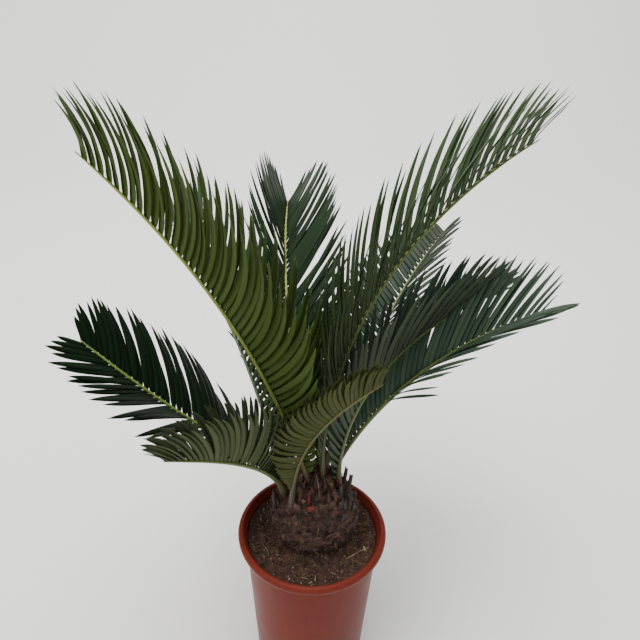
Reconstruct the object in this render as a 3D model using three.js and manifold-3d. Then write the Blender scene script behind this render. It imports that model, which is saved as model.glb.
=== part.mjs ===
// Sago palm (Cycas revoluta) in a terracotta-coloured plastic pot.
// Millimetres, +Z up. The origin is the middle of the pot's flat underside, the crown's
// tall pair of fronds leans to -X and +X, and the back of the crown is towards +Y.
import * as THREE from 'three';
import { mergeVertices } from 'three/addons/utils/BufferGeometryUtils.js';
import Module from 'manifold-3d';

const wasm = await Module();
wasm.setup();

// ---- driving dimensions -------------------------------------------------------------

const CLEARANCE = 0.35; // gap left wherever one piece sits in or on another

// pot
const POT_HEIGHT = 230; // underside to the top of the rolled lip
const POT_FOOT_RADIUS = 69.5; // outside radius of the wall at the ground
const POT_MOUTH_RADIUS = 81.5; // outside radius the wall would have at the top
const POT_WALL = 2.2;
const POT_FLOOR = 3;
const LIP_RADIUS = 90; // widest circle of the rolled lip
const LIP_RISE = 6; // that circle to the lip's top
const LIP_DEPTH = 13.5; // lip's top to its lower edge
const LIP_BAND = 5.5; // width of the lip's rounded top
const COLLAR_HEIGHT = 9; // the wall's inside flares out over this height to meet the lip
const LIP_FILLET = 4; // height of the hollow curve from the wall to the lip's lower edge
const LIP_STEPS = 5; // straight lengths in the lip's rounded top
const POT_FOOT_BEVEL = 2;
const POT_MOUTH_BEVEL = 1.5; // at the lip's inner edge
const DRAIN_COUNT = 6;
const DRAIN_RADIUS = 4.5;
const DRAIN_CIRCLE = 44; // the holes' distance from the middle
const POT_SIDES = 40;

// soil
const SOIL_LEVEL = 220; // height of the soil where it meets the wall
const SOIL_MOUND = 4; // rise from the wall to the trunk
const SOIL_RINGS = 5;
const SOIL_RUFFLE = 1.4; // height of the lumps

// trunk: a ball-shaped stem, cut flat below the soil
const TRUNK_CENTRE = new THREE.Vector3(2, 8, 250);
const TRUNK_RADIUS = 54;
const TRUNK_TAPER = 0.12; // share that the ball narrows by, from its middle to its top
const TRUNK_FOOT = 203; // height of the flat cut
const TRUNK_SIDES = 24;
const TRUNK_RINGS = 8;

// scales: the stubs of old leaf bases, in a spiral round the trunk
const SCALE_COUNT = 38;
const SCALE_LOW = -22; // elevation on the ball of the lowest scale, degrees
const SCALE_HIGH = 80;
const SCALE_WIDTH = [19, 11]; // at its foot and at its end
const SCALE_THICKNESS = [9, 5.5];
const SCALE_LENGTH = [5, 13]; // from the lowest to the highest
const SCALE_SUNK = 4;
const SCALE_LEAN = [1.1, 0.2]; // lowest and highest: 0 stands straight off the ball
const GOLDEN_ANGLE = 137.508;
const PETIOLE_ROOM = 8.5; // a scale nearer than this to a petiole's foot is left out

// dry stalks: what is left of cut fronds, as [angle round the trunk, elevation, length]
const DRY_STALKS = [
  [-8, 37, 31],
  [10, 44, 26],
  [-24, 26, 22],
  [176, 33, 26],
  [191, 17, 22],
];
const DRY_STALK_WIDTH = [10, 4.5]; // at its foot and at its end
const DRY_STALK_LEAN = 0.7; // 0 stands straight off the ball, 1 stands upright

// petiole and rachis
const STEM_SUNK = 7; // the petiole's foot below the ball's surface
const STEM_SIDES = 4;
const STEM_RINGS = 8;
const STEM_FOOT = 5.5; // half widths: at the foot, above the flare, and at the tip
const STEM_BODY = 2.9;
const STEM_TIP = 1.5;
const STEM_FLARE = 20; // length over which the foot's flare dies away
const STEM_FLATNESS = 0.8; // thickness over width
const BARE_SHARE = 0.12; // share of the rachis below the first leaflets
const WALK_STEPS = 36; // straight steps the rachis is worked out in
const DROOP_POWER = 1.2; // above 1, a frond bends more towards its tip than at its foot
const STEM_CROWDING = 1.25; // above 1, the stem's rings stand closer at its foot

// leaflets
const LEAF_WIDTH = 9; // each one stands for about one and a half real ones
const LEAF_THICKNESS = 1.6;
const LEAF_ROOT_SHARE = 0.3; // width at the root over the full width
const LEAF_STEPS = 8;
const LEAF_BENDS = 2; // straight lengths that each leaflet is built from
const LEAF_GROWTH = 0.35; // extra half thickness when looking for a clash
const CORNER_REACH = 2 / Math.sqrt(3); // makes a three-sided ring of radius 1 two units wide
const SHORTER = [1, 0.72, 0.5]; // lengths tried before a leaflet is left out
const LAST_PAIR = 0.985; // place of the last pair on the rachis
const LEAF_FIRST = 0.42; // length of the lowest leaflets over the longest one's
const LEAF_GAIN = 2.6; // how fast that share grows along the leafy part
const LEAF_LOSS = 0.65; // share lost towards the tip, as the power fade of the place
const LEAF_END = [0.2, 20]; // a further share lost at the very tip, and its power
const LOW_POWER = 4; // how fast splay and hang die away above the lowest leaflets

// Fronds, from the tall pair to the low ones. Angles in degrees, lengths in millimetres.
// seat, reach: the petiole's foot, as an angle round the trunk and a distance from its axis
// turn, lift: the direction it sets out in, round the trunk and above the horizontal
// length: petiole and rachis; droop, sweep: how far it bends down and sideways in all
// roll, twist: the blade's turn about the rachis, at mid-length and from foot to tip
// vee, sag: each row's rise out of the blade's plane, and its loss from leaflet root to tip
// leaf: the longest leaflet; fan: its angle to the rachis at the foot and at the tip
// bow: how far each leaflet bends towards the frond's tip
// fade, loss: how late the leaflets grow short towards the tip, and by what share
// pairs: pairs of leaflets
// splay, hang: how much wider the lowest leaflets stand, and how much more they sag
const FRONDS = [
  {
    name: 'frond_tall_left', seat: 208, reach: 8.5, turn: 187, lift: 75, length: 442, droop: 26, sweep: 15,
    roll: 2, twist: -21, vee: 72, sag: 19, leaf: 120, fan: [75, 44], bow: 40, fade: 5.1, loss: 0.37,
    pairs: 22,
  },
  {
    name: 'frond_tall_right', seat: -2, reach: 7.5, turn: 11, lift: 91, length: 456, droop: 58, sweep: -10,
    roll: 6, twist: 14, vee: 49, sag: 15, leaf: 125, fan: [37, 39], bow: 23, fade: 6.3, loss: 0.43,
    pairs: 22,
  },
  {
    name: 'frond_back', seat: 125, reach: 27, turn: 97, lift: 54, length: 400, droop: 45, sweep: -16,
    roll: -8, twist: 1, vee: 53, sag: -9, leaf: 132, fan: [65, 46], bow: 5, fade: 6.1, loss: 0.52,
    pairs: 20,
  },
  {
    name: 'frond_back_left', seat: 170, reach: 40, turn: 132, lift: 74, length: 345, droop: 49, sweep: -2,
    roll: -20, twist: 9, vee: 66, sag: -13, leaf: 128, fan: [65, 55], bow: 34, fade: 6, pairs: 17,
  },
  {
    name: 'frond_back_right', seat: 68, reach: 30, turn: 61, lift: 38, length: 398, droop: 23, sweep: -13,
    roll: 14, twist: 24, vee: 41, sag: 31, leaf: 107, fan: [57, 64], bow: 16, fade: 2.3, loss: 0.57,
    pairs: 19,
  },
  {
    name: 'frond_right', seat: 40, reach: 26, turn: -5, lift: 69, length: 325, droop: 42, sweep: -4,
    roll: -12, twist: 12, vee: 38, sag: 20, leaf: 111, fan: [44, 33], bow: 6, fade: 7.1, loss: 0.68,
    pairs: 19, splay: 20, hang: 70,
  },
  {
    name: 'frond_right_rear', seat: 4, reach: 27, turn: 16, lift: 91, length: 318, droop: 84, sweep: 11,
    roll: 4, twist: 1, vee: 66, sag: 6, leaf: 95, fan: [42, 26], bow: 14, fade: 6, pairs: 15,
  },
  {
    name: 'frond_front', seat: 224, reach: 36, turn: -37, lift: 83, length: 245, droop: 41, sweep: 17,
    roll: -25, twist: 1, vee: 54, sag: -13, leaf: 92, fan: [78, 24], bow: 43, fade: 2.6, loss: 0.37,
    pairs: 17,
  },
  {
    name: 'frond_left', seat: 149, reach: 38, turn: 182, lift: 37, length: 290, droop: -10, sweep: -9,
    roll: -8, twist: 47, vee: 25, sag: 26, leaf: 145, fan: [84, 40], bow: 14, fade: 1.9, loss: 0.62,
    pairs: 19,
  },
  {
    name: 'frond_low_left', seat: 196, reach: 37, turn: 227, lift: 65, length: 211, droop: 47, sweep: -44,
    roll: 42, twist: -45, vee: 58, sag: -12, leaf: 125, fan: [94, 32], bow: 14, fade: 1.7, loss: 0.7,
    pairs: 17,
  },
  {
    name: 'frond_rear_short', seat: 105, reach: 42, turn: 112, lift: 48, length: 290, droop: 42, sweep: 0,
    roll: 0, twist: 0, vee: 36, sag: 8, leaf: 105, fan: [62, 36], bow: 20, fade: 3.2, pairs: 15,
  },
];

// ---- small helpers ------------------------------------------------------------------

const radians = THREE.MathUtils.degToRad;
const lerp = THREE.MathUtils.lerp;

/** A repeatable number from -1 to 1 for each whole number. */
function scatter(index) {
  const value = Math.sin(index * 12.9898 + 4.1414) * 43758.5453;
  return 2 * (value - Math.floor(value)) - 1;
}

/** A closed three.js geometry as a solid: corners welded, flat triangles dropped. */
function solid(geometry) {
  const bare = geometry.clone();
  bare.deleteAttribute('normal');
  bare.deleteAttribute('uv');
  const welded = mergeVertices(bare, 1e-4);
  const index = welded.index.array;
  const triangles = [];
  for (let i = 0; i < index.length; i += 3) {
    const [a, b, c] = [index[i], index[i + 1], index[i + 2]];
    if (a !== b && b !== c && c !== a) {
      triangles.push(a, b, c);
    }
  }
  return new wasm.Manifold(new wasm.Mesh({
    numProp: 3,
    vertProperties: new Float32Array(welded.attributes.position.array),
    triVerts: new Uint32Array(triangles),
  }));
}

/** The largest closed body of a solid: loose scraps and sealed hollows are dropped. */
function largest(body) {
  const bodies = body.decompose();
  return bodies.reduce((best, next) => (next.volume() > best.volume() ? next : best));
}

/** A solid as a three.js geometry. */
function geometryOf(body) {
  const mesh = body.getMesh();
  const geometry = new THREE.BufferGeometry();
  geometry.setAttribute('position', new THREE.BufferAttribute(mesh.vertProperties, 3));
  geometry.setIndex(new THREE.BufferAttribute(mesh.triVerts, 1));
  geometry.computeVertexNormals();
  return geometry;
}

/** A profile of [radius, height] pairs, turned about the Z axis. */
function turned(profile, sides) {
  const points = profile.map(([radius, height]) => new THREE.Vector2(radius, height));
  return new THREE.LatheGeometry(points, sides).rotateX(Math.PI / 2);
}

/** A capped cylinder of radius 1 whose corners are moved by place(share, x, y). */
function swept(sides, rings, pointed, place) {
  const geometry = new THREE.CylinderGeometry(pointed ? 0 : 1, 1, 1, sides, rings);
  const position = geometry.attributes.position;
  for (let i = 0; i < position.count; i += 1) {
    const share = position.getY(i) + 0.5;
    const radius = pointed ? 1 - share : 1;
    const x = radius > 0 ? position.getX(i) / radius : 0;
    const y = radius > 0 ? position.getZ(i) / radius : 0;
    const point = place(share, x, y);
    position.setXYZ(i, point.x, point.y, point.z);
  }
  return geometry;
}

// ---- pot ----------------------------------------------------------------------------

/** Outside radius of the pot's wall at a height. */
function wallRadius(height) {
  return lerp(POT_FOOT_RADIUS, POT_MOUTH_RADIUS, height / POT_HEIGHT);
}

/** A tapering pot with a rolled lip and a flat floor with drain holes. */
function potSolid() {
  const lipBottom = POT_HEIGHT - LIP_DEPTH;
  const collar = POT_HEIGHT - COLLAR_HEIGHT;
  const bandInside = LIP_RADIUS - LIP_BAND;
  const roll = [];
  for (let i = 0; i <= LIP_STEPS; i += 1) {
    const angle = (i / LIP_STEPS) * (Math.PI / 2);
    const radius = bandInside + LIP_BAND * Math.cos(angle);
    roll.push([radius, POT_HEIGHT - LIP_RISE + LIP_RISE * Math.sin(angle)]);
  }
  const profile = [
    [0, 0],
    [POT_FOOT_RADIUS - POT_FOOT_BEVEL, 0],
    [wallRadius(POT_FOOT_BEVEL), POT_FOOT_BEVEL],
    [wallRadius(lipBottom - LIP_FILLET), lipBottom - LIP_FILLET],
    [lerp(POT_MOUTH_RADIUS, LIP_RADIUS, 0.2), lipBottom - 0.3 * LIP_FILLET],
    [lerp(POT_MOUTH_RADIUS, LIP_RADIUS, 0.8), lipBottom],
    [LIP_RADIUS, lipBottom + LIP_FILLET],
    ...roll,
    [bandInside - POT_MOUTH_BEVEL, POT_HEIGHT - POT_MOUTH_BEVEL],
    [wallRadius(collar) - POT_WALL, collar],
    [wallRadius(POT_FLOOR) - POT_WALL, POT_FLOOR],
    [0, POT_FLOOR],
  ];
  let pot = solid(turned(profile, POT_SIDES));
  for (let i = 0; i < DRAIN_COUNT; i += 1) {
    const angle = (i / DRAIN_COUNT) * 2 * Math.PI;
    const hole = new THREE.CylinderGeometry(DRAIN_RADIUS, DRAIN_RADIUS, 4 * POT_FLOOR, 12);
    hole.rotateX(Math.PI / 2);
    hole.translate(DRAIN_CIRCLE * Math.cos(angle), DRAIN_CIRCLE * Math.sin(angle), 0);
    pot = pot.subtract(solid(hole));
  }
  return pot;
}

// ---- trunk --------------------------------------------------------------------------

/** How wide the ball is at an elevation, over a true ball's width there. */
function ballWidth(elevation) {
  return 1 - TRUNK_TAPER * Math.max(0, Math.sin(elevation));
}

/** A point on the trunk's surface, or sunk below it, by angle round and elevation. */
function onBall(round, elevation, sunk) {
  const offset = radial(round, elevation).multiplyScalar(TRUNK_RADIUS - sunk);
  const width = ballWidth(elevation);
  return offset.multiply(new THREE.Vector3(width, width, 1)).add(TRUNK_CENTRE);
}

/** The ball-shaped stem, cut flat at its foot; grow makes it larger all round. */
function ballSolid(grow) {
  const radius = TRUNK_RADIUS + grow;
  const foot = TRUNK_FOOT - TRUNK_CENTRE.z - grow;
  const low = Math.asin(foot / radius);
  const profile = [[0, foot]];
  for (let i = 0; i <= TRUNK_RINGS; i += 1) {
    const angle = lerp(low, Math.PI / 2, i / TRUNK_RINGS);
    const onAxis = i === TRUNK_RINGS;
    const width = radius * Math.cos(angle) * ballWidth(angle);
    profile.push([onAxis ? 0 : width, radius * Math.sin(angle)]);
  }
  const ball = turned(profile, TRUNK_SIDES);
  ball.translate(TRUNK_CENTRE.x, TRUNK_CENTRE.y, TRUNK_CENTRE.z);
  return solid(ball);
}

/** Direction from the ball's middle, by angle round the trunk and elevation. */
function radial(round, elevation) {
  const flat = Math.cos(elevation);
  return new THREE.Vector3(flat * Math.cos(round), flat * Math.sin(round), Math.sin(elevation));
}

/** A four-sided wedge that stands on the ball and leans upwards; size is [foot, end]. */
function wedgeSolid(round, elevation, lean, length, width, thickness) {
  const out = radial(round, elevation);
  const root = onBall(round, elevation, SCALE_SUNK);
  const side = new THREE.Vector3(-Math.sin(round), Math.cos(round), 0);
  const along = out.clone().addScaledVector(out.clone().cross(side), lean).normalize();
  const across = side.clone().cross(along);
  return solid(swept(4, 1, false, (t, x, y) => root.clone()
    .addScaledVector(along, (SCALE_SUNK + length) * t)
    .addScaledVector(side, 0.5 * x * lerp(width[0], width[1], t))
    .addScaledVector(across, 0.5 * y * lerp(thickness[0], thickness[1], t))));
}

/** Scale number k of the spiral, or null where a petiole stands. */
function scaleSolid(k, feet) {
  const share = (k + 0.5) / SCALE_COUNT;
  const rise = lerp(Math.sin(radians(SCALE_LOW)), Math.sin(radians(SCALE_HIGH)), share);
  const elevation = Math.asin(rise);
  const round = radians(k * GOLDEN_ANGLE);
  const surface = onBall(round, elevation, 0);
  if (feet.some((foot) => foot.distanceTo(surface) < PETIOLE_ROOM)) {
    return null;
  }
  const length = lerp(SCALE_LENGTH[0], SCALE_LENGTH[1], share) * (1 + 0.25 * scatter(k));
  const lean = lerp(SCALE_LEAN[0], SCALE_LEAN[1], share);
  return wedgeSolid(round, elevation, lean, length, SCALE_WIDTH, SCALE_THICKNESS);
}

/** A dry stalk: a narrow upright wedge. */
function dryStalkSolid([round, elevation, length]) {
  const lean = 1 / Math.tan(radians(elevation)) * DRY_STALK_LEAN;
  return wedgeSolid(radians(round), radians(elevation), lean, length, DRY_STALK_WIDTH, DRY_STALK_WIDTH);
}

/** The trunk: ball, scales, and a socket for each petiole's foot. */
function trunkSolid(fronds) {
  const feet = fronds.map((frond) => frond.foot);
  let trunk = ballSolid(0);
  for (let k = 0; k < SCALE_COUNT; k += 1) {
    const scale = scaleSolid(k, feet);
    if (scale) {
      trunk = trunk.add(scale);
    }
  }
  for (const stalk of DRY_STALKS) {
    trunk = trunk.add(dryStalkSolid(stalk));
  }
  for (const frond of fronds) {
    trunk = trunk.subtract(stemSolid(frond, CLEARANCE));
  }
  return largest(trunk);
}

// ---- soil ---------------------------------------------------------------------------

/** The potting soil: fills the pot, rises towards the trunk and holds its foot. */
function soilSolid() {
  const radiusAt = (height) => wallRadius(height) - POT_WALL - 2 * CLEARANCE;
  const bottom = POT_FLOOR + CLEARANCE;
  const edge = radiusAt(SOIL_LEVEL);
  const profile = [[0, bottom], [radiusAt(bottom), bottom], [edge, SOIL_LEVEL]];
  for (let i = SOIL_RINGS - 1; i >= 0; i -= 1) {
    const radius = (edge * i) / SOIL_RINGS;
    profile.push([radius, SOIL_LEVEL + SOIL_MOUND * (1 - (radius / edge) ** 2)]);
  }
  const geometry = turned(profile, POT_SIDES);
  const position = geometry.attributes.position;
  for (let i = 0; i < position.count; i += 1) {
    const [x, y, z] = [position.getX(i), position.getY(i), position.getZ(i)];
    const inside = Math.max(0, 1 - Math.hypot(x, y) / edge);
    const lumps = Math.sin(0.21 * x + 0.13 * y) * Math.cos(0.17 * y - 0.08 * x);
    const onTop = z >= SOIL_LEVEL;
    position.setZ(i, onTop ? z + SOIL_RUFFLE * lumps * Math.min(1, 5 * inside) : z);
  }
  return largest(solid(geometry).subtract(ballSolid(CLEARANCE)));
}

// ---- fronds -------------------------------------------------------------------------

/** Directions at a share of the rachis: along it, across the blade, and out of the blade. */
function directions(frond, share) {
  const rise = radians(frond.lift - frond.droop * share ** DROOP_POWER);
  const round = radians(frond.turn + frond.sweep * (share - 0.5));
  const roll = radians(frond.roll + frond.twist * (share - 0.5));
  const along = radial(round, rise);
  const up = new THREE.Vector3(-Math.sin(rise) * Math.cos(round), -Math.sin(rise) * Math.sin(round), Math.cos(rise));
  const level = along.clone().cross(up);
  const across = level.clone().multiplyScalar(Math.cos(roll)).addScaledVector(up, Math.sin(roll));
  const out = level.multiplyScalar(-Math.sin(roll)).addScaledVector(up, Math.cos(roll));
  return { along, across, out };
}

/** Adds the petiole's foot and the rachis's path to a frond. */
function withPath(frond) {
  const height = Math.sqrt(TRUNK_RADIUS ** 2 - frond.reach ** 2);
  const seat = radians(frond.seat);
  const foot = new THREE.Vector3(frond.reach * Math.cos(seat), frond.reach * Math.sin(seat), height);
  foot.add(TRUNK_CENTRE);
  const path = [foot];
  for (let i = 0; i < WALK_STEPS; i += 1) {
    const { along } = directions(frond, (i + 0.5) / WALK_STEPS);
    path.push(path[i].clone().addScaledVector(along, frond.length / WALK_STEPS));
  }
  return { ...frond, foot, path };
}

/** The point of the rachis at a share of its length; below 0 it runs into the trunk. */
function rachisPoint(frond, share) {
  const place = THREE.MathUtils.clamp(share, 0, 1) * WALK_STEPS;
  const step = Math.min(Math.floor(place), WALK_STEPS - 1);
  const point = frond.path[step].clone().lerp(frond.path[step + 1], place - step);
  return share < 0 ? point.addScaledVector(directions(frond, 0).along, share * frond.length) : point;
}

/** Half the stem's width at a share of its length. */
function stemHalfWidth(frond, share) {
  const flare = (STEM_FOOT - STEM_BODY) * Math.exp(-Math.max(0, share * frond.length) / STEM_FLARE);
  return flare + lerp(STEM_BODY, STEM_TIP, Math.max(0, share));
}

/** Petiole and rachis as one tapering stem; grow makes it thicker, for its socket. */
function stemSolid(frond, grow) {
  const first = -(STEM_SUNK + grow) / frond.length;
  return solid(swept(STEM_SIDES, STEM_RINGS, false, (t, x, y) => {
    const share = lerp(first, 1, t ** STEM_CROWDING);
    const { across, out } = directions(frond, Math.max(0, share));
    const half = stemHalfWidth(frond, share) + grow;
    return rachisPoint(frond, share)
      .addScaledVector(across, x * half)
      .addScaledVector(out, y * half * STEM_FLATNESS);
  }));
}

/** Length of the leaflets at a share of the leafy part, over the longest one's. */
function leafShare(frond, place) {
  const { loss = LEAF_LOSS } = frond;
  const falling = 1 - loss * place ** frond.fade - LEAF_END[0] * place ** LEAF_END[1];
  return Math.min(1, LEAF_FIRST + LEAF_GAIN * place) * falling;
}

/** A leaflet's centre line: points with the directions across and out of its blade. */
function leafPath(frond, place, side, length) {
  const share = lerp(BARE_SHARE, LAST_PAIR, place);
  const { along, across, out } = directions(frond, share);
  const point = rachisPoint(frond, share);
  const { splay = 0, hang = 0 } = frond;
  const low = (1 - place) ** LOW_POWER;
  const path = [];
  for (let i = 0; i <= LEAF_STEPS; i += 1) {
    const angleAt = (t) => {
      const fan = radians(lerp(frond.fan[0], frond.fan[1], place) + splay * low - frond.bow * t);
      const vee = radians(frond.vee - (frond.sag + hang * low) * t);
      const sideways = across.clone().multiplyScalar(side * Math.cos(vee)).addScaledVector(out, Math.sin(vee));
      const ahead = along.clone().multiplyScalar(Math.cos(fan)).addScaledVector(sideways, Math.sin(fan));
      const width = along.clone().multiplyScalar(Math.sin(fan)).addScaledVector(sideways, -Math.cos(fan));
      return { ahead, width: width.multiplyScalar(side) };
    };
    if (i > 0) {
      point.addScaledVector(angleAt((i - 0.5) / LEAF_STEPS).ahead, length / LEAF_STEPS);
    }
    const { ahead, width } = angleAt(i / LEAF_STEPS);
    path.push({ point: point.clone(), width, face: ahead.cross(width) });
  }
  return path;
}

/** A leaflet: a three-sided blade, flat above and keeled below, that ends in a point. */
function leafSolid(frond, place, side, length, grow) {
  const path = leafPath(frond, place, side, length);
  return solid(swept(3, LEAF_BENDS, true, (t, x, y) => {
    const { point, width, face } = path[Math.round(t * LEAF_STEPS)];
    if (t === 1) {
      return point.clone();
    }
    const half = 0.5 * LEAF_WIDTH * (t === 0 ? LEAF_ROOT_SHARE : 1) + grow;
    return point.clone()
      .addScaledVector(width, x * half * CORNER_REACH)
      .addScaledVector(face, -y * (LEAF_THICKNESS / 1.5 + grow));
  }));
}

/** True where two boxes overlap. */
function boxesMeet(a, b) {
  return [0, 1, 2].every((i) => a.min[i] <= b.max[i] && b.min[i] <= a.max[i]);
}

/** True where two solids share any volume. */
function clash(a, b) {
  return boxesMeet(a.boundingBox(), b.boundingBox()) && a.intersect(b).volume() > 0;
}

/** A frond: its stem with two rows of leaflets, each clear of every obstacle. */
function frondSolid(frond, stem, obstacles) {
  let body = stem;
  for (let i = 0; i < frond.pairs; i += 1) {
    for (const side of [-1, 1]) {
      const place = (i + 0.25 * (1 + side)) / (frond.pairs - 0.5);
      const full = frond.leaf * leafShare(frond, place);
      const fitting = SHORTER.find((share) => {
        const tester = leafSolid(frond, place, side, full * share, LEAF_GROWTH);
        return !obstacles.some((obstacle) => clash(obstacle, tester));
      });
      if (fitting) {
        body = body.add(leafSolid(frond, place, side, full * fitting, 0));
      }
    }
  }
  return largest(body);
}

// ---- assembly -----------------------------------------------------------------------

const TERRACOTTA = new THREE.MeshStandardMaterial({ color: '#a8594a', roughness: 0.42, metalness: 0 });
const POTTING_SOIL = new THREE.MeshStandardMaterial({ color: '#3d2a22', roughness: 0.95, metalness: 0 });
const OLD_BARK = new THREE.MeshStandardMaterial({ color: '#5a3a2c', roughness: 0.9, metalness: 0 });
const LEAF_GREEN = new THREE.MeshStandardMaterial({ color: '#2c3f22', roughness: 0.38, metalness: 0 });

const palm = new THREE.Group();

/** Adds one named piece to the plant. */
function addPiece(name, body, material) {
  const mesh = new THREE.Mesh(geometryOf(body), material);
  mesh.name = name;
  palm.add(mesh);
}

const fronds = FRONDS.map(withPath);
const stems = fronds.map((frond) => stemSolid(frond, 0));
const pot = potSolid();
const soil = soilSolid();
const trunk = trunkSolid(fronds);
const finished = [pot, soil, trunk];

addPiece('pot', pot, TERRACOTTA);
addPiece('soil', soil, POTTING_SOIL);
addPiece('trunk', trunk, OLD_BARK);
fronds.forEach((frond, i) => {
  const otherStems = stems.filter((stem) => stem !== stems[i]);
  const body = frondSolid(frond, stems[i], [...finished, ...otherStems]);
  finished.push(body);
  addPiece(frond.name, body, LEAF_GREEN);
});

export default palm;
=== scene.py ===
"""Sago palm in a terracotta-coloured plastic pot: fine surfaces and finishes over the frame.

Shapes are worked out in millimetres and put into the meshes in metres.
"""
import math

import bpy
import numpy as np
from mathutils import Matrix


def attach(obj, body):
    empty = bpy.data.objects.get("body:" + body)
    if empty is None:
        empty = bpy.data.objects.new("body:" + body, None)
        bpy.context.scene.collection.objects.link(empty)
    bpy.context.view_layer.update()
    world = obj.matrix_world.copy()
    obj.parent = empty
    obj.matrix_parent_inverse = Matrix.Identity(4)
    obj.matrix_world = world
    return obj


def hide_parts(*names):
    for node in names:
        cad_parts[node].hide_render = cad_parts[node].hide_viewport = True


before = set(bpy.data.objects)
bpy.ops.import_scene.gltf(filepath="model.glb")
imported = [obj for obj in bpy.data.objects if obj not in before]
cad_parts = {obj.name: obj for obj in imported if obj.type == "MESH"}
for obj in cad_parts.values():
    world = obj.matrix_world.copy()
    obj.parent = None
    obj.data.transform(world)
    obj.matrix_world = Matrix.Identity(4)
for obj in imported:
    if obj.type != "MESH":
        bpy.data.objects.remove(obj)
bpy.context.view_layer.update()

MM = 0.001
GOLDEN_ANGLE = 137.508

# ---- sizes in millimetres, as in the part's source but for a slimmer lip -----------------

POT_HEIGHT = 230
POT_FOOT_RADIUS = 69.5
POT_MOUTH_RADIUS = 81.5
POT_WALL = 2.2
POT_FLOOR = 3
LIP_RADIUS = 90
LIP_RISE = 4.6
LIP_DEPTH = 10
LIP_BAND = 5.5
COLLAR_HEIGHT = 9
DRAIN_COUNT = 6
DRAIN_RADIUS = 4.5
DRAIN_CIRCLE = 44

SOIL_LEVEL = 220
SOIL_MOUND = 4
SOIL_GAP = 0.7

TRUNK_CENTRE = np.array([2.0, 8.0, 250.0])
TRUNK_RADIUS = 54
TRUNK_TAPER = 0.12
TRUNK_FOOT = 203

# Stalks: depth sunk into the trunk, half widths, and the height over which the foot flares.
STEM_SUNK = 7
STEM_FOOT = 5.5
STEM_BODY = 2.9
STEM_TIP = 1.5
STEM_FLARE = 20
WALK_STEPS = 36

# Leafy part: its start and end as shares of the stalk, and how much shorter than the
# longest ones its last leaflets are.
BARE_SHARE = 0.12
LAST_PAIR = 0.985
LEAF_LOSS = 0.65

# Dry stalks: angle round the trunk, elevation, length.
DRY_STALKS = [(-8, 37, 31), (10, 44, 26), (-24, 26, 22), (176, 33, 26), (191, 17, 22)]

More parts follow.
